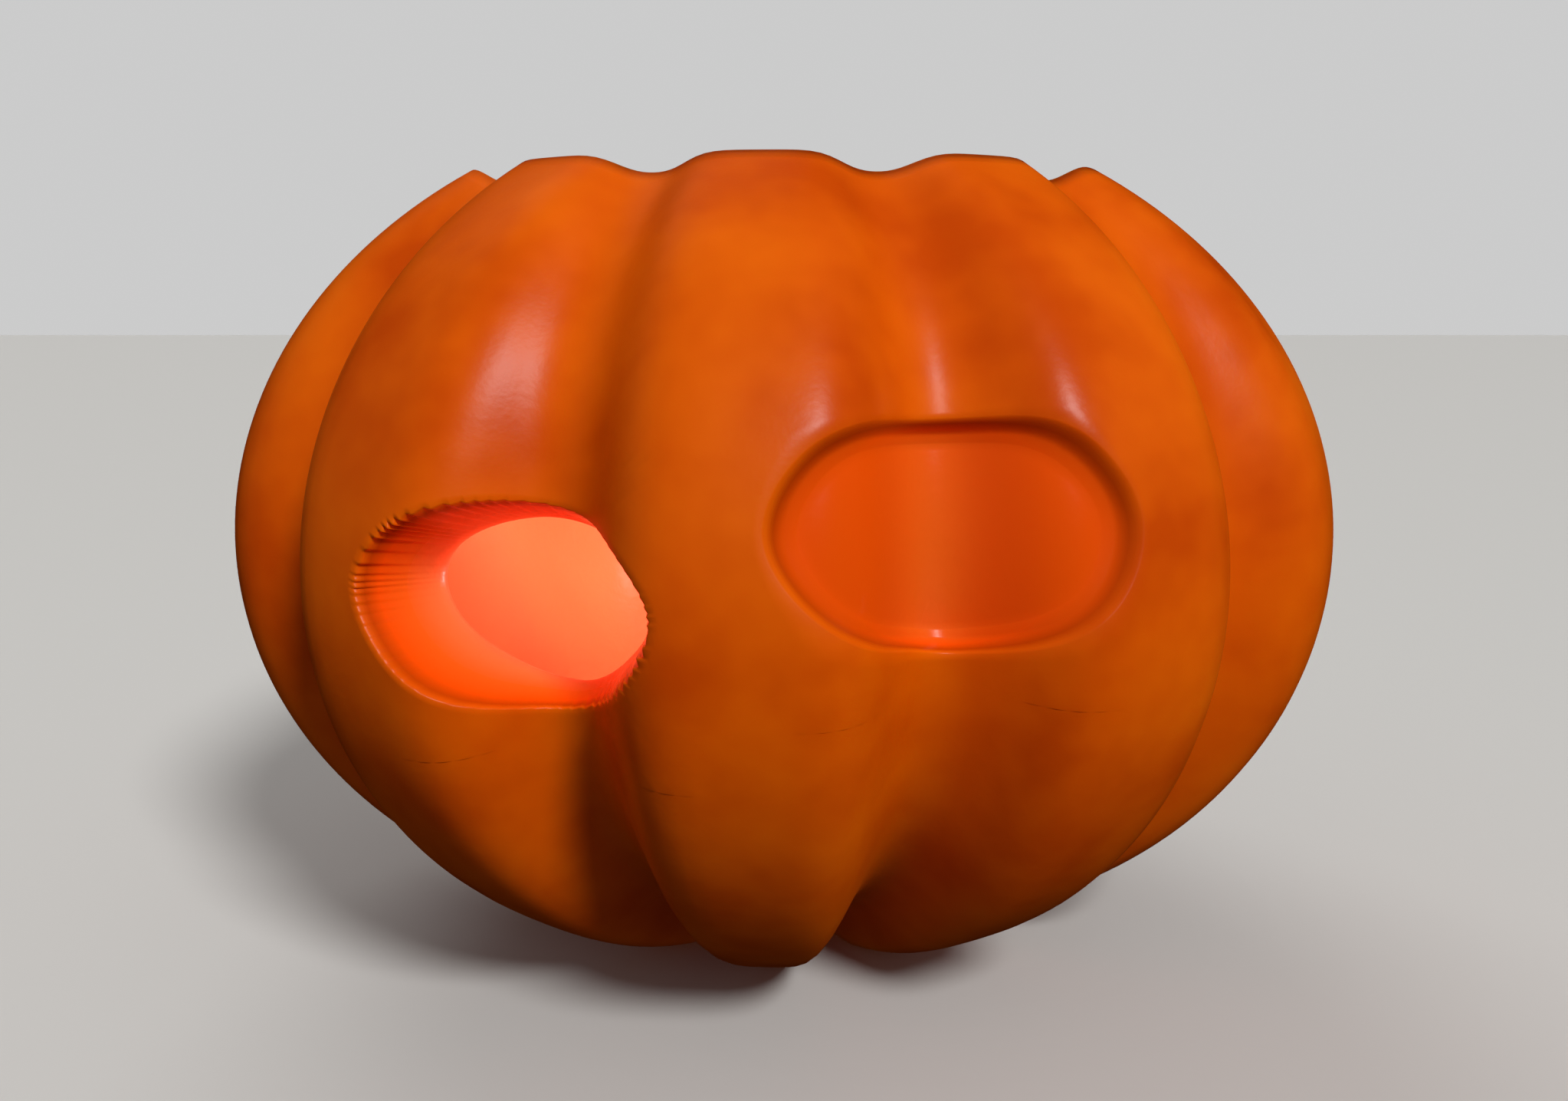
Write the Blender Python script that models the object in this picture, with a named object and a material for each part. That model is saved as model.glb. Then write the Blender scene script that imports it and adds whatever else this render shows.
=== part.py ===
"""Carved pumpkin lantern: one hollow ribbed shell with its lid cut away.

The left eye is cut right through the wall, and the right eye is only pared a few millimetres
deep. Metres, +Z up, -Y is the carved face. The origin is the middle of the foot, on the surface
that the pumpkin stands on.
"""

import math

import bmesh
import bpy
from mathutils import Vector

# The whole fruit, before carving: a squashed ball with ten ribs.
RADIUS = 0.150
SQUASH = 0.79
RIBS = 10
RIB_TURN = math.radians(-3.3)
FOOT_DROP = 0.755 * RADIUS

# The grooves between the ribs, as shares of RADIUS, and how narrow and how flat they are.
GROOVE_SIDE = 0.141
GROOVE_LEAN = 0.052
GROOVE_ENDS = 0.081
GROOVE_NARROW = 3.0
GROOVE_FLAT = 0.5

# The dimple where the blossom fell, under the fruit, and where the grooves fade out towards it.
DIMPLE_RISE = 0.060
DIMPLE_REACH = 0.15
GROOVE_FADE = 0.22

# The lid's cut, as an angle down from the top, and the hollow left by scooping, as shares of
# RADIUS. The flesh is left thicker from FLOOR_STARTS down to FLOOR_ENDS.
LID_ANGLE = math.radians(35.4)
HOLLOW = 0.845
HOLLOW_RIBS = 0.42
HOLLOW_FLOOR = 0.06
FLOOR_STARTS = math.radians(115)
FLOOR_ENDS = math.radians(170)

# Each eye: its middle as an angle round and an angle down from the top, and knife points
# across and up from there, in metres along the skin.
LEFT_EYE = {
    "round": math.radians(-24.0),
    "down": math.radians(90.5),
    "points": [
        (-0.0356, 0.0035),
        (-0.0270, 0.0183),
        (-0.0040, 0.0262),
        (0.0200, 0.0207),
        (0.0359, 0.0045),
        (0.0270, -0.0138),
        (0.0050, -0.0273),
        (-0.0225, -0.0152),
    ],
}
RIGHT_EYE = {
    "round": math.radians(14.2),
    "down": math.radians(81.7),
    "points": [
        (-0.0404, 0.0015),
        (-0.0305, 0.0195),
        (-0.0040, 0.0276),
        (0.0245, 0.0236),
        (0.0396, 0.0045),
        (0.0315, -0.0156),
        (0.0050, -0.0277),
        (-0.0260, -0.0170),
    ],
}
# How much an eye narrows inwards: the share of its width left at these depths below the skin.
HOLE_DEPTH = 0.018
HOLE_NARROWED = 0.82
PARED_DEPTH = 0.0055
PARED_NARROWED = 0.87
# Rings on the pared eye's floor, as shares of its width there, so that the floor follows the rib.
PARED_FLOOR_RINGS = (0.8, 0.55, 0.3, 0.1)

# The skin's colour, as linear RGBA, and its waxy gloss.
SKIN_COLOUR = (0.74, 0.12, 0.004, 1)
SKIN_ROUGHNESS = 0.38

# Mesh density.
COLUMNS = 10 * RIBS
ROWS = 28
COLUMN_PACKING = 0.35
HOLLOW_COLUMNS = 6 * RIBS
HOLLOW_ROWS = 20
EYE_STEPS = 40

# How far the eyes' cutters reach past the skin and past the wall.
PLUG_STAND_OFF = 0.020


def smooth_step(low, high, x):
    t = min(1.0, max(0.0, (x - low) / (high - low)))
    return t * t * (3 - 2 * t)


def groove_depth(down):
    """How deep the grooves are at this angle from the top, as a share of RADIUS."""
    c = math.cos(down)
    depth = GROOVE_SIDE - GROOVE_LEAN * c - GROOVE_ENDS * c * c
    if c < 0:
        depth *= smooth_step(0.0, GROOVE_FADE, math.sin(down))
    return depth


def rib_wave(around):
    """1 along the bottom of a groove, 0 along the crown of a rib."""
    return 0.5 - 0.5 * math.cos(RIBS * (around - RIB_TURN))


def skin_share(around, down):
    groove = rib_wave(around) ** GROOVE_NARROW
    groove += GROOVE_FLAT * (math.sin(groove * math.pi / 2) - groove)
    return 1 - groove_depth(down) * groove


def hollow_share(around, down):
    floor = HOLLOW_FLOOR * smooth_step(FLOOR_STARTS, FLOOR_ENDS, down)
    return HOLLOW - floor - HOLLOW_RIBS * groove_depth(down) * rib_wave(around)


def place(around, down, share):
    """The point at that share of the fruit's size, seen from its middle. -Y is round 0."""
    out = RADIUS * share * math.sin(down)
    up = RADIUS * share * SQUASH * math.cos(down)
    if down > math.pi / 2:
        near_axis = math.sin(down) / DIMPLE_REACH
        up += RADIUS * DIMPLE_RISE * math.exp(-near_axis * near_axis)
    return Vector((out * math.sin(around), -out * math.cos(around), up + FOOT_DROP))


def packed(around):
    """Draws the mesh columns towards the grooves, where the skin turns most."""
    turns = RIBS * (around - RIB_TURN)
    return around + COLUMN_PACKING * math.sin(turns) / RIBS


def finish(name, bm, hide=False):
    bmesh.ops.recalc_face_normals(bm, faces=bm.faces)
    if bm.calc_volume(signed=True) < 0:
        bmesh.ops.reverse_faces(bm, faces=bm.faces)
    mesh = bpy.data.meshes.new(name)
    bm.to_mesh(mesh)
    bm.free()
    obj = bpy.data.objects.new(name, mesh)
    bpy.context.scene.collection.objects.link(obj)
    obj.hide_render = hide
    if hide:
        obj.display_type = "WIRE"
    return obj


def ball(columns, rows):
    """A unit ball, with each vertex's angle round from -Y and angle down from the top."""
    bm = bmesh.new()
    bmesh.ops.create_uvsphere(bm, u_segments=columns, v_segments=rows, radius=1.0)
    angles = []
    for v in bm.verts:
        around = math.atan2(v.co.x, -v.co.y) + RIB_TURN
        down = math.acos(max(-1.0, min(1.0, v.co.z)))
        angles.append((v, packed(around), down))
    return bm, angles


def fruit():
    """The ribbed body. Its top is the lid's cut, a cone that slopes down to the middle."""
    bm, angles = ball(COLUMNS, ROWS)
    row = math.pi / ROWS
    for v, around, down in angles:
        if down < row / 2:
            v.co = (0, 0, FOOT_DROP)
            continue
        along = (down - row) / (math.pi - row)
        down = LID_ANGLE + along * (math.pi - LID_ANGLE)
        v.co = place(around, down, skin_share(around, down))
    return finish("pumpkin_shell", bm)


def hollow():
    """The scooped inside, a smaller body with shallower ribs."""
    bm, angles = ball(HOLLOW_COLUMNS, HOLLOW_ROWS)
    for v, around, down in angles:
        v.co = place(around, down, hollow_share(around, down))
    return finish("hollow_cutter", bm, hide=True)


def outline(points, t):
    """A smooth closed curve through the knife points. t goes once round from 0 to 1."""
    n = len(points)
    i = int(t * n) % n
    u = t * n - int(t * n)
    p0, p1, p2, p3 = (Vector(points[(i + k) % n]) for k in (-1, 0, 1, 2))
    a = 2 * p1
    b = p2 - p0
    c = 2 * p0 - 5 * p1 + 4 * p2 - p3
    d = 3 * p1 - p0 - 3 * p2 + p3
    return 0.5 * (a + b * u + c * u * u + d * u * u * u)


def eye_plug(name, eye, levels):
    """A closed plug for one eye: a tube with one ring for each (width, depth in metres)."""
    bm = bmesh.new()
    bmesh.ops.create_circle(bm, cap_ends=True, segments=EYE_STEPS, radius=1.0)
    ring = list(bm.edges)
    for _ in levels[1:]:
        made = bmesh.ops.extrude_edge_only(bm, edges=ring)["geom"]
        moved = [g for g in made if isinstance(g, bmesh.types.BMVert)]
        bmesh.ops.translate(bm, verts=moved, vec=(0, 0, 1))
        ring = [
            g
            for g in made
            if isinstance(g, bmesh.types.BMEdge) and all(v in moved for v in g.verts)
        ]
    bmesh.ops.contextual_create(bm, geom=ring)
    for v in bm.verts:
        turn = (math.atan2(v.co.y, v.co.x) / math.tau) % 1.0
        width, depth = levels[round(v.co.z)]
        across, up = outline(eye["points"], turn) * width
        around = eye["round"] + across / RADIUS
        down = eye["down"] - up / (SQUASH * RADIUS)
        v.co = place(around, down, skin_share(around, down) - depth / RADIUS)
    return finish(name, bm, hide=True)


def plug_sides(depth, narrowed):
    """Ring levels of a plug that is full size at the skin and narrowed at that depth."""
    return [(2 - narrowed, -depth - PLUG_STAND_OFF), (2 - narrowed, -depth), (narrowed, depth)]


def cut(body, cutter):
    modifier = body.modifiers.new(cutter.name, "BOOLEAN")
    modifier.operation = "DIFFERENCE"
    modifier.object = cutter


def foot_block():
    """A block whose top is the standing surface: it gives the ribs their small flat spots."""
    bm = bmesh.new()
    bmesh.ops.create_cube(bm, size=1.0)
    bmesh.ops.scale(bm, verts=bm.verts, vec=(RADIUS, RADIUS, RADIUS))
    bmesh.ops.translate(bm, verts=bm.verts, vec=(0, 0, -RADIUS / 2))
    return finish("foot_cutter", bm, hide=True)


def skin_material():
    material = bpy.data.materials.new("pumpkin_skin")
    material.use_nodes = True
    shader = material.node_tree.nodes["Principled BSDF"]
    shader.inputs["Base Color"].default_value = SKIN_COLOUR
    shader.inputs["Roughness"].default_value = SKIN_ROUGHNESS
    return material


def main():
    for obj in list(bpy.data.objects):
        bpy.data.objects.remove(obj)
    shell = fruit()
    shell.data.materials.append(skin_material())
    hole = plug_sides(HOLE_DEPTH, HOLE_NARROWED)
    hole.append((HOLE_NARROWED, HOLE_DEPTH + PLUG_STAND_OFF))
    pared = plug_sides(PARED_DEPTH, PARED_NARROWED)
    pared += [(PARED_NARROWED * share, PARED_DEPTH) for share in PARED_FLOOR_RINGS]
    cut(shell, hollow())
    cut(shell, eye_plug("left_eye_cutter", LEFT_EYE, hole))
    cut(shell, eye_plug("right_eye_cutter", RIGHT_EYE, pared))
    cut(shell, foot_block())


main()
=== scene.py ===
import math

import bmesh
import bpy
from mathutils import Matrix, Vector, noise


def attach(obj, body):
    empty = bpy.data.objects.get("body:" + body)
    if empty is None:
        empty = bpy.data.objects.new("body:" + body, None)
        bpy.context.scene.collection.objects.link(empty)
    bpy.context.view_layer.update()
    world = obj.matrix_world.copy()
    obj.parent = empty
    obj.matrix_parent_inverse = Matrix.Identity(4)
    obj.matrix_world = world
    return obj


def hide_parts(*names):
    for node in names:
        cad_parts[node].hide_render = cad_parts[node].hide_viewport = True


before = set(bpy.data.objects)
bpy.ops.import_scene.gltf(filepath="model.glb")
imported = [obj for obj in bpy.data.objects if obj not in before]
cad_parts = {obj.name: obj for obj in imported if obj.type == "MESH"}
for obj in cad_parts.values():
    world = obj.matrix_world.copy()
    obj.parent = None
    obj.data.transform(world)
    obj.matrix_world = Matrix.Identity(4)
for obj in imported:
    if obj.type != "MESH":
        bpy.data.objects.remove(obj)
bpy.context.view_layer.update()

# ---- The grown fruit ------------------------------------------------------------------------
# A ripe carving pumpkin: a squashed ball with ten ribs and waxy skin over firm orange flesh.
# The grooves are deepest low on its sides, and they fade out towards the blossom's dimple
# underneath. It rests on small flat spots under the ribs.

RADIUS = 0.150
SQUASH = 0.79
RIBS = 10
RIB_TURN = math.radians(-3.3)
FOOT_DROP = 0.755 * RADIUS
GROOVE_SIDE = 0.141
GROOVE_LEAN = 0.052
GROOVE_ENDS = 0.081
GROOVE_NARROW = 3.0
GROOVE_FLAT = 0.5
DIMPLE_RISE = 0.060
DIMPLE_REACH = 0.15
GROOVE_FADE = 0.22


def smooth_step(low, high, x):
    t = min(1.0, max(0.0, (x - low) / (high - low)))
    return t * t * (3 - 2 * t)


def groove_depth(down):
    """How deep the grooves are at this angle from the top, as a share of RADIUS."""
    c = math.cos(down)
    depth = GROOVE_SIDE - GROOVE_LEAN * c - GROOVE_ENDS * c * c
    if c < 0:
        depth *= smooth_step(0.0, GROOVE_FADE, math.sin(down))
    return depth


def rib_wave(around):
    """1 along the bottom of a groove, 0 along the crown of a rib."""
    return 0.5 - 0.5 * math.cos(RIBS * (around - RIB_TURN))


def skin_share(around, down):
    groove = rib_wave(around) ** GROOVE_NARROW
    groove += GROOVE_FLAT * (math.sin(groove * math.pi / 2) - groove)
    return 1 - groove_depth(down) * groove


def grown(around, down, share):
    """The point at that share of the fruit's size, seen from its middle. -Y is round 0."""
    out = RADIUS * share * math.sin(down)
    up = RADIUS * share * SQUASH * math.cos(down)
    if down > math.pi / 2:
        near_axis = math.sin(down) / DIMPLE_REACH
        up += RADIUS * DIMPLE_RISE * math.exp(-near_axis * near_axis)
    return Vector((out * math.sin(around), -out * math.cos(around), max(0, up + FOOT_DROP)))


# ---- The lid's cut and the scooped hollow -----------------------------------------------------
# The lid is sawn out on a slant towards the middle, so that it would not fall in. A spoon
# scrapes out the seeds and strings, which leaves an even wall with shallower ribs inside.
# The wall is worked on as a plain ball's, and takes the fruit's real shape at the end.

LID_ANGLE = math.radians(35.4)
HOLLOW = 0.845
HOLLOW_RIBS = 0.42
HOLLOW_FLOOR = 0.06
FLOOR_STARTS = math.radians(115)
FLOOR_ENDS = math.radians(170)
BALL_WALL = 1 - HOLLOW
COLUMNS = 26 * RIBS
ROWS = 100
COLUMN_PACKING = 0.35
RIM_CUTS = 8
RIM_ROUNDING = 0.0009 / RADIUS
RIM_STEPS = 3


def hollow_share(around, down):
    floor = HOLLOW_FLOOR * smooth_step(FLOOR_STARTS, FLOOR_ENDS, down)
    return HOLLOW - floor - HOLLOW_RIBS * groove_depth(down) * rib_wave(around)


def ball_point(around, down, through):
    flat = math.sin(down)
    way = Vector((flat * math.sin(around), -flat * math.cos(around), math.cos(down)))
    return way * (1 - BALL_WALL * through)


def ball_place(co):
    """Angle round from -Y, angle down from the top, and share of the way through the wall."""
    down = math.acos(max(-1.0, min(1.0, co.z / co.length)))
    return math.atan2(co.x, -co.y), down, (1 - co.length) / BALL_WALL


def ball_skin(bm, through):
    """One side of the ball's wall, open at the top. Returns the edges round the opening."""
    made = bmesh.ops.create_uvsphere(bm, u_segments=COLUMNS, v_segments=ROWS, radius=1.0)["verts"]
    row = math.pi / ROWS
    pole = max(made, key=lambda v: v.co.z)
    for v in made:
        around, down, _ = ball_place(v.co)
        around += COLUMN_PACKING * math.sin(RIBS * around) / RIBS + RIB_TURN
        down = LID_ANGLE + (down - row) / (math.pi - row) * (math.pi - LID_ANGLE)
        if v is not pole:
            v.co = ball_point(around, down, through)
    bmesh.ops.delete(bm, geom=[pole], context="VERTS")
    rim = [e for v in made if v.is_valid for e in v.link_edges if e.is_boundary]
    return list(dict.fromkeys(rim))


bm = bmesh.new()
outer_rim = ball_skin(bm, 0.0)
inner_rim = ball_skin(bm, 1.0)
bridge = bmesh.ops.bridge_loops(bm, edges=outer_rim + inner_rim)["edges"]
bmesh.ops.subdivide_edges(bm, edges=bridge, cuts=RIM_CUTS)
for rim in (outer_rim, inner_rim):
    bmesh.ops.bevel(
        bm,
        geom=rim,
        offset=RIM_ROUNDING,
        segments=RIM_STEPS,
        profile=0.5,
        affect="EDGES",
        material=-1,
    )

# ---- The eyes ---------------------------------------------------------------------------------
# The left eye is sawn right through the wall with a small toothed saw, and its sides slope
# inwards. The saw leaves a ragged edge in the skin. The right eye is only pared a few
# millimetres deep with a rounded tool, so its edge and corners are soft.

LEFT_EYE = {
    "round": math.radians(-24.0),
    "down": math.radians(90.5),
    "points": [
        (-0.0356, 0.0035),
        (-0.0270, 0.0183),
        (-0.0040, 0.0262),
        (0.0200, 0.0207),
        (0.0359, 0.0045),
        (0.0270, -0.0138),
        (0.0050, -0.0273),
        (-0.0225, -0.0152),
    ],
}
RIGHT_EYE = {
    "round": math.radians(14.2),
    "down": math.radians(81.7),
    "points": [
        (-0.0404, 0.0015),
        (-0.0305, 0.0195),
        (-0.0040, 0.0276),
        (0.0245, 0.0236),
        (0.0396, 0.0045),
        (0.0315, -0.0156),
        (0.0050, -0.0277),
        (-0.0260, -0.0170),
    ],
}
# Half an eye's width and height, which turn a place on its face into a turn round it.
EYE_HALF = (0.036, 0.027)
BLOCK_MARGIN = 0.009
BLOCK_RINGS = 5
SIDE_TOLERANCE = 0.02


def outline(points, turn):
    """A smooth closed curve through the knife points. turn goes once round from 0 to 1."""
    n = len(points)
    i = int(turn * n) % n
    u = turn * n - int(turn * n)
    p0, p1, p2, p3 = (Vector(points[(i + k) % n]) for k in (-1, 0, 1, 2))
    a = 2 * p1
    b = p2 - p0
    c = 2 * p0 - 5 * p1 + 4 * p2 - p3
    d = 3 * p1 - p0 - 3 * p2 + p3
    return 0.5 * (a + b * u + c * u * u + d * u * u * u)


def on_face(eye, co):
    """Metres across and up from the eye's middle."""
    around, down, _ = ball_place(co)
    return Vector(((around - eye["round"]) * RADIUS, (eye["down"] - down) * SQUASH * RADIUS))


def from_face(eye, spot, through):
    around = eye["round"] + spot.x / RADIUS
    down = eye["down"] - spot.y / (SQUASH * RADIUS)
    return ball_point(around, down, through)


def block_out(bm, turn, eye, side, cuts):
    """Takes out a block of faces a little larger than the eye, on side 0 or 1 of the wall.

    Returns the edges round the gap, each cut into cuts + 1, and their vertices know their turn.
    """
    half = [max(p[k] for p in eye["points"]) + BLOCK_MARGIN for k in (0, 1)]
    block = []
    for f in bm.faces:
        middle = f.calc_center_median()
        spot = on_face(eye, middle)
        right_side = abs(ball_place(middle)[2] - side) < SIDE_TOLERANCE
        if right_side and abs(spot.x) < half[0] and abs(spot.y) < half[1]:
            block.append(f)
    inside = set(block)
    border = [e for f in block for e in f.edges if not inside.issuperset(e.link_faces)]
    bmesh.ops.delete(bm, geom=block, context="FACES")
    split = bmesh.ops.subdivide_edges(bm, edges=border, cuts=cuts)["geom_split"]
    ring = [g for g in split if isinstance(g, bmesh.types.BMEdge) and g.is_boundary]
    for v in {v for e in ring for v in e.verts}:
        spot = on_face(eye, v.co)
        v[turn] = math.atan2(spot.y / EYE_HALF[1], -spot.x / EYE_HALF[0]) / math.tau % 1.0
    return ring


def next_ring(bm, ring, place):
    """Extrudes the ring of edges, and puts each new vertex where place says."""
    made = bmesh.ops.extrude_edge_only(bm, edges=ring)["geom"]
    fresh = {g for g in made if isinstance(g, bmesh.types.BMVert)}
    for v in fresh:
        v.co = place(v)
    return [g for g in made if isinstance(g, bmesh.types.BMEdge) and fresh.issuperset(g.verts)]


def close_in(bm, turn, eye, ring, width, through):
    """Rings from the block's square gap to the eye's outline, along the skin."""
    for left in range(BLOCK_RINGS, 0, -1):

        def place(v):
            goal = outline(eye["points"], v[turn]) * width
            return from_face(eye, on_face(eye, v.co).lerp(goal, 1 / left), through)

        ring = next_ring(bm, ring, place)
    return ring


turn = bm.verts.layers.float.new("turn")

# The saw's bites are shares of the eye's width. They lean one way, wander in spacing, and are
# deepest round two opposite corners, and they fade out with depth in the wall.
SAW_CUTS = 5
SAW_TEETH = 66
SAW_SLANT = 0.78
SAW_WANDER = 1.6
SAW_WANDERS = 14
BITE_SIZE = 0.7
BITE_SPREAD = 0.9
BITE_CHANGES = 33
DEEP_CORNER = 1 / 8
QUIET_BITE = 0.15
SAW_BITE = 0.048
SAW_FADE = 0.3
SKIN_EDGE = 1.06
RIM_FLARE = 0.006
HOLE_NARROWED = 0.14
HOLE_CURVE = 0.9
LIP_STARTS = 0.8
LIP_FLARE = 0.06
HOLE_RINGS = 16
RING_PACKING = 1.6
HOLE_LEVELS = [(ring / HOLE_RINGS) ** RING_PACKING for ring in range(1, HOLE_RINGS)]


def saw_edge(at_turn, through):
    """How far the saw has bitten at this turn round the eye, as a share of its width."""
    wander = SAW_WANDER * noise.noise((SAW_WANDERS * at_turn, 0.0, 0.0))
    swing = (at_turn * SAW_TEETH + wander) % 1.0
    tooth = min(swing / SAW_SLANT, (1 - swing) / (1 - SAW_SLANT)) - 0.5
    corner = 0.5 + 0.5 * math.cos(4 * math.pi * (at_turn - DEEP_CORNER))
    size = BITE_SIZE + BITE_SPREAD * noise.noise((BITE_CHANGES * at_turn, 5.0, 0.0))
    return SAW_BITE * tooth * size * (QUIET_BITE + corner**2) * math.exp(-through / SAW_FADE)


def hole_width(through):
    """The hole narrows inwards, and its inner lip is scraped a little wider again."""
    narrowed = HOLE_NARROWED * min(1.0, through / LIP_STARTS) ** HOLE_CURVE
    lip = max(0.0, (through - LIP_STARTS) / (1 - LIP_STARTS))
    return 1 - narrowed + LIP_FLARE * lip * lip


def saw_through(bm, eye):
    ring = block_out(bm, turn, eye, 0, SAW_CUTS)
    ring = close_in(bm, turn, eye, ring, SKIN_EDGE, 0.0)
    for through in [0.0, *HOLE_LEVELS]:

        def place(v):
            width = hole_width(through) + saw_edge(v[turn], through)
            if through == 0:
                width += RIM_FLARE
            return from_face(eye, outline(eye["points"], v[turn]) * width, through)

        ring = next_ring(bm, ring, place)
    inside = block_out(bm, turn, eye, 1, SAW_CUTS)
    inside = close_in(bm, turn, eye, inside, hole_width(1.0), 1.0)
    bmesh.ops.bridge_loops(bm, edges=ring + inside)


# The pared eye's side drops steeply for PARE_LIP of its way, by PARE_STEEP of the depth.
PARE_CUTS = 1
PARED_DEPTH = 0.0055
PARE_OUTER = 1.03
PARE_INNER = 0.85
PARE_LIP = 0.6
PARE_STEEP = 0.55
PARE_RINGS = 16
FLOOR_RINGS = 14


def pare(bm, eye):
    def pared_place(width, depth):
        def place(v):
            spot = outline(eye["points"], v[turn]) * width
            around = eye["round"] + spot.x / RADIUS
            down = eye["down"] - spot.y / (SQUASH * RADIUS)
            wall = RADIUS * (skin_share(around, down) - hollow_share(around, down))
            return from_face(eye, spot, depth / wall)

        return place

    ring = block_out(bm, turn, eye, 0, PARE_CUTS)
    ring = close_in(bm, turn, eye, ring, PARE_OUTER, 0.0)
    for step in range(1, PARE_RINGS + 1):
        share = step / PARE_RINGS
        width = PARE_OUTER + (PARE_INNER - PARE_OUTER) * share
        sunk = PARE_STEEP * smooth_step(0, PARE_LIP, share) + (1 - PARE_STEEP) * share
        ring = next_ring(bm, ring, pared_place(width, PARED_DEPTH * sunk))
    for step in range(1, FLOOR_RINGS + 1):
        width = PARE_INNER * (1 - step / (FLOOR_RINGS + 0.5))
        ring = next_ring(bm, ring, pared_place(width, PARED_DEPTH))
    middle = bmesh.ops.contextual_create(bm, geom=ring)["faces"]
    bmesh.ops.poke(bm, faces=middle)


saw_through(bm, LEFT_EYE)
pare(bm, RIGHT_EYE)
bm.verts.layers.float.remove(turn)

# ---- The finished shell ------------------------------------------------------------------------
# The ball's wall takes the fruit's shape, and its inner half gets the small unevenness that a
# spoon leaves. Each vertex keeps how deep in the flesh it lies, for its colour.

SCOOP_WAVES = 0.0008
SCOOP_LENGTH = 0.014
SCOOP_STRETCH = 0.4
SCOOP_STARTS = 0.5

flesh = bm.verts.layers.float.new("through")
for v in bm.verts:
    around, down, through = ball_place(v.co)
    v[flesh] = through
    skin = skin_share(around, down)
    share = skin + (hollow_share(around, down) - skin) * through
    v.co = grown(around, down, share)
    if through > SCOOP_STARTS:
        wave = noise.noise(Vector((v.co.x, v.co.y, v.co.z * SCOOP_STRETCH)) / SCOOP_LENGTH)
        outward = (v.co - Vector((0, 0, FOOT_DROP))).normalized()
        v.co += outward * SCOOP_WAVES * wave * smooth_step(SCOOP_STARTS, 1.0, through)
bmesh.ops.recalc_face_normals(bm, faces=bm.faces)
for f in bm.faces:
    f.smooth = True

shell_mesh = bpy.data.meshes.new("carved_pumpkin")
bm.to_mesh(shell_mesh)
bm.free()
shell = bpy.data.objects.new("carved_pumpkin", shell_mesh)
bpy.context.scene.collection.objects.link(shell)
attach(shell, "root")
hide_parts("pumpkin_shell")

# ---- Rind and flesh ----------------------------------------------------------------------------
# Ripe pumpkin rind is waxy, so it has a broad soft shine, with lighter and darker clouds in the
# orange. The moist cut flesh is red-orange under the rind and pales to salmon at the hollow. Its
# colour by depth is partly the flesh's own and partly painted light: darker near the cut edges as
# painted shade, and paler deep in the wall as a painted glow of the lantern light through thin
# flesh.
# The shine comes and goes with the clouds, and scraped flesh is duller than a fresh cut.


def linear(hex_colour):
    """An sRGB hex colour as linear RGBA."""
    parts = [int(hex_colour[i : i + 2], 16) / 255 for i in (0, 2, 4)]
    return tuple(c / 12.92 if c <= 0.04045 else ((c + 0.055) / 1.055) ** 2.4 for c in parts) + (1,)


def add(tree, kind, settings, links):
    """Adds a node. A link is a socket or a value, by the input's name or number."""
    node = tree.nodes.new(kind)
    for name, value in settings.items():
        if name == "stops":
            while len(node.color_ramp.elements) < len(value):
                node.color_ramp.elements.new(0.5)
            for element, (position, colour) in zip(node.color_ramp.elements, value):
                element.position = position
                element.color = linear(colour)
        else:
            setattr(node, name, value)
    for name, value in links.items():
        if isinstance(value, bpy.types.NodeSocket):
            tree.links.new(value, node.inputs[name])
        else:
            node.inputs[name].default_value = value
    return node


CLOUD = 0.04
CLOUD_DETAIL = 3.0
CLOUD_ROUGHNESS = 0.55
CLOUD_STOPS = [(0.32, "D34B00"), (0.5, "E65C00"), (0.68, "F26800")]
# Flesh colour by depth in the wall: its own red-orange to salmon, with painted shade darkening it
# near the rind and a painted glow of the lantern light paling it deep in the wall.
FLESH_SHADE_AND_GLOW_STOPS = [
    (0.0, "C04400"),
    (0.1, "C84400"),
    (0.23, "F65404"),
    (0.47, "F46214"),
    (0.8, "F67A40"),
    (1.0, "F97E4C"),
]
# Shares of the way through the wall: where the rind ends, and where the flesh gets scraped.
RIND_ENDS = (0.03, 0.1)
SCRAPED = (0.3, 0.9)
# Roughness, of the rind over its clouds, and of the flesh from a fresh cut to scraped.
RIND_SHINE = (0.28, 0.38)
SHINE_CLOUDS = (0.3, 0.7)
FLESH_SHINE = (0.21, 0.36)
SHINE_FADES = (0.2, 0.9)
# Pores are 0.1 to 0.3 mm in a real rind. They are drawn 1.6 mm apart, so that they show.
PORE = 0.0016
PORE_DEPTH = 0.00003
SCRAPE = 0.005
SCRAPE_DEPTH = 0.0004
LIGHT_REACH = 0.002

rind = bpy.data.materials.new("pumpkin_rind_and_flesh")
rind.use_nodes = True
tree = rind.node_tree
shader = tree.nodes["Principled BSDF"]
where = add(tree, "ShaderNodeTexCoord", {}, {}).outputs["Object"]
depth = add(tree, "ShaderNodeAttribute", {"attribute_name": "through"}, {}).outputs["Fac"]
clouds = add(
    tree,
    "ShaderNodeTexNoise",
    {},
    {
        "Vector": where,
        "Scale": 1 / CLOUD,
        "Detail": CLOUD_DETAIL,
        "Roughness": CLOUD_ROUGHNESS,
    },
).outputs["Fac"]
skin_colour = add(tree, "ShaderNodeValToRGB", {"stops": CLOUD_STOPS}, {0: clouds})
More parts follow.
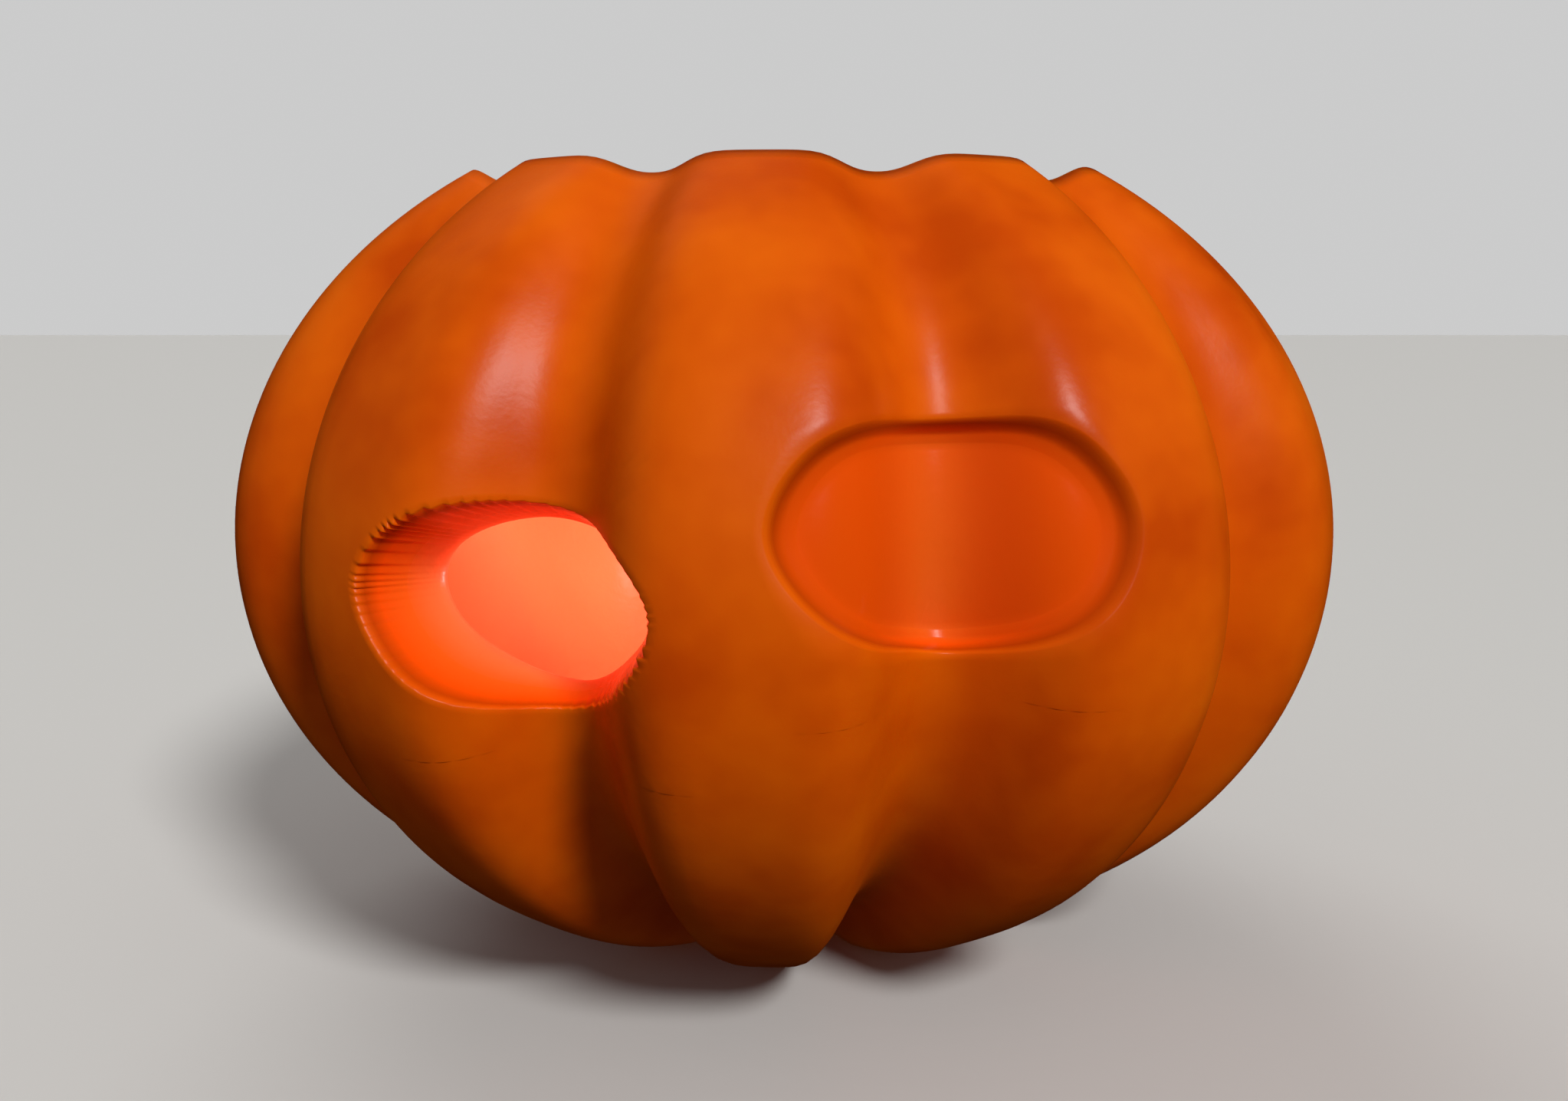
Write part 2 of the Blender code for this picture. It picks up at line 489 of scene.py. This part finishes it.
# Flesh colour by depth, with painted shade near the cut edges and a painted glow deep in the wall.
flesh_shade_and_glow_colour = add(tree, "ShaderNodeValToRGB", {"stops": FLESH_SHADE_AND_GLOW_STOPS}, {0: depth})
is_flesh = add(
    tree,
    "ShaderNodeMapRange",
    {},
    {"Value": depth, "From Min": RIND_ENDS[0], "From Max": RIND_ENDS[1]},
).outputs[0]
colour = add(
    tree,
    "ShaderNodeMix",
    {"data_type": "RGBA"},
    {0: is_flesh, 6: skin_colour.outputs["Color"], 7: flesh_shade_and_glow_colour.outputs["Color"]},
)
tree.links.new(colour.outputs[2], shader.inputs["Base Color"])

skin_gloss = add(
    tree,
    "ShaderNodeMapRange",
    {},
    {
        "Value": clouds,
        "From Min": SHINE_CLOUDS[0],
        "From Max": SHINE_CLOUDS[1],
        "To Min": RIND_SHINE[0],
        "To Max": RIND_SHINE[1],
    },
)
flesh_gloss = add(
    tree,
    "ShaderNodeMapRange",
    {},
    {
        "Value": depth,
        "From Min": SHINE_FADES[0],
        "From Max": SHINE_FADES[1],
        "To Min": FLESH_SHINE[0],
        "To Max": FLESH_SHINE[1],
    },
)
gloss = add(
    tree,
    "ShaderNodeMix",
    {"data_type": "FLOAT"},
    {0: is_flesh, 2: skin_gloss.outputs[0], 3: flesh_gloss.outputs[0]},
)
tree.links.new(gloss.outputs[0], shader.inputs["Roughness"])
shader.inputs["IOR"].default_value = 1.42
shader.inputs["Specular IOR Level"].default_value = 0.16
shader.inputs["Subsurface Weight"].default_value = 0.15
shader.inputs["Subsurface Scale"].default_value = LIGHT_REACH
shader.inputs["Subsurface Radius"].default_value = (1.0, 0.4, 0.15)

pores = add(tree, "ShaderNodeTexNoise", {}, {"Vector": where, "Scale": 1 / PORE, "Detail": 2.0})
pore_bump = add(
    tree,
    "ShaderNodeBump",
    {},
    {"Height": pores.outputs["Fac"], "Distance": PORE_DEPTH, "Strength": 1.0},
)
scrapes = add(
    tree, "ShaderNodeTexNoise", {}, {"Vector": where, "Scale": 1 / SCRAPE, "Detail": 3.0}
)
is_scraped = add(
    tree,
    "ShaderNodeMapRange",
    {},
    {"Value": depth, "From Min": SCRAPED[0], "From Max": SCRAPED[1]},
)
scraped_bump = add(
    tree,
    "ShaderNodeBump",
    {},
    {
        "Height": scrapes.outputs["Fac"],
        "Distance": SCRAPE_DEPTH,
        "Strength": is_scraped.outputs[0],
        "Normal": pore_bump.outputs["Normal"],
    },
)
tree.links.new(scraped_bump.outputs["Normal"], shader.inputs["Normal"])
shell.data.materials.append(rind)

# ---- Studio ------------------------------------------------------------------------------------
# A pale matt floor under white surroundings that dim towards the ground, a soft key lamp from
# the upper right in front, a weak one from behind, and a small hidden lamp in the hollow where
# the lantern's light would stand.

FLOOR_REACH = 6.0
HORIZON = (-0.3, 0.3)
SKY_STRENGTH = (0.06, 0.24)
BACKDROP_STRENGTH = 0.6

bm = bmesh.new()
bmesh.ops.create_grid(bm, x_segments=1, y_segments=1, size=FLOOR_REACH)
floor_mesh = bpy.data.meshes.new("floor")
bm.to_mesh(floor_mesh)
bm.free()
floor = bpy.data.objects.new("floor", floor_mesh)
bpy.context.scene.collection.objects.link(floor)
floor_paint = bpy.data.materials.new("matt_floor_paint")
floor_paint.use_nodes = True
floor_shader = floor_paint.node_tree.nodes["Principled BSDF"]
floor_shader.inputs["Base Color"].default_value = linear("D8D6D2")
floor_shader.inputs["Roughness"].default_value = 0.8
floor.data.materials.append(floor_paint)
floor.visible_glossy = False
floor.visible_diffuse = False

world = bpy.data.worlds.new("studio")
bpy.context.scene.world = world
world.use_nodes = True
sky_tree = world.node_tree
sky = sky_tree.nodes["Background"]
sky.inputs["Color"].default_value = (1, 1, 1, 1)
way = add(sky_tree, "ShaderNodeTexCoord", {}, {}).outputs["Generated"]
height = add(sky_tree, "ShaderNodeSeparateXYZ", {}, {0: way}).outputs["Z"]
strength = add(
    sky_tree,
    "ShaderNodeMapRange",
    {},
    {
        "Value": height,
        "From Min": HORIZON[0],
        "From Max": HORIZON[1],
        "To Min": SKY_STRENGTH[0],
        "To Max": SKY_STRENGTH[1],
    },
)
seen = add(sky_tree, "ShaderNodeLightPath", {}, {}).outputs["Is Camera Ray"]
shown = add(
    sky_tree,
    "ShaderNodeMix",
    {"data_type": "FLOAT"},
    {0: seen, 2: strength.outputs[0], 3: BACKDROP_STRENGTH},
)
sky_tree.links.new(shown.outputs[0], sky.inputs["Strength"])
world.cycles_visibility.glossy = False


def lamp(name, kind, energy, location):
    light = bpy.data.lights.new(name, kind)
    light.energy = energy
    obj = bpy.data.objects.new(name, light)
    bpy.context.scene.collection.objects.link(obj)
    obj.location = location
    return obj


def far_lamp(name, energy, around, up, softness):
    """A far lamp at that angle round from -Y and up from the floor. Angles are in degrees."""
    around = math.radians(around)
    up = math.radians(up)
    flat = math.cos(up)
    way = Vector((flat * math.sin(around), -flat * math.cos(around), math.sin(up)))
    obj = lamp(name, "SUN", energy, Vector((0, 0, FOOT_DROP)) + way)
    obj.rotation_euler = (-way).to_track_quat("-Z", "Y").to_euler()
    obj.data.angle = math.radians(softness)
    return obj


far_lamp("key", 2.3, 27, 39, 14)
rear = far_lamp("rear_fill", 0.7, 200, 45, 40)
rear.visible_glossy = False
lantern = lamp("lantern_light", "POINT", 0.36, (0.035, -0.005, 0.08))
lantern.data.shadow_soft_size = 0.02
lantern.visible_camera = False

scene = bpy.context.scene
scene.view_settings.view_transform = "Standard"

# ---- Camera ------------------------------------------------------------------------------------
# It stands close in front, level with the upper part of the fruit, and looks a little down on
# the face.

LOOK_DOWN = math.radians(9.7)
CAMERA_DISTANCE = 0.4402
AIM_HEIGHT = FOOT_DROP - 0.057 * RADIUS
camera_data = bpy.data.cameras.new("camera")
camera_data.lens = 34.7
camera_data.sensor_width = 36.0
camera = bpy.data.objects.new("camera", camera_data)
scene.collection.objects.link(camera)
camera.location = (
    0,
    -CAMERA_DISTANCE * math.cos(LOOK_DOWN),
    AIM_HEIGHT + CAMERA_DISTANCE * math.sin(LOOK_DOWN),
)
camera.rotation_euler = (math.radians(90) - LOOK_DOWN, 0, 0)
scene.camera = camera
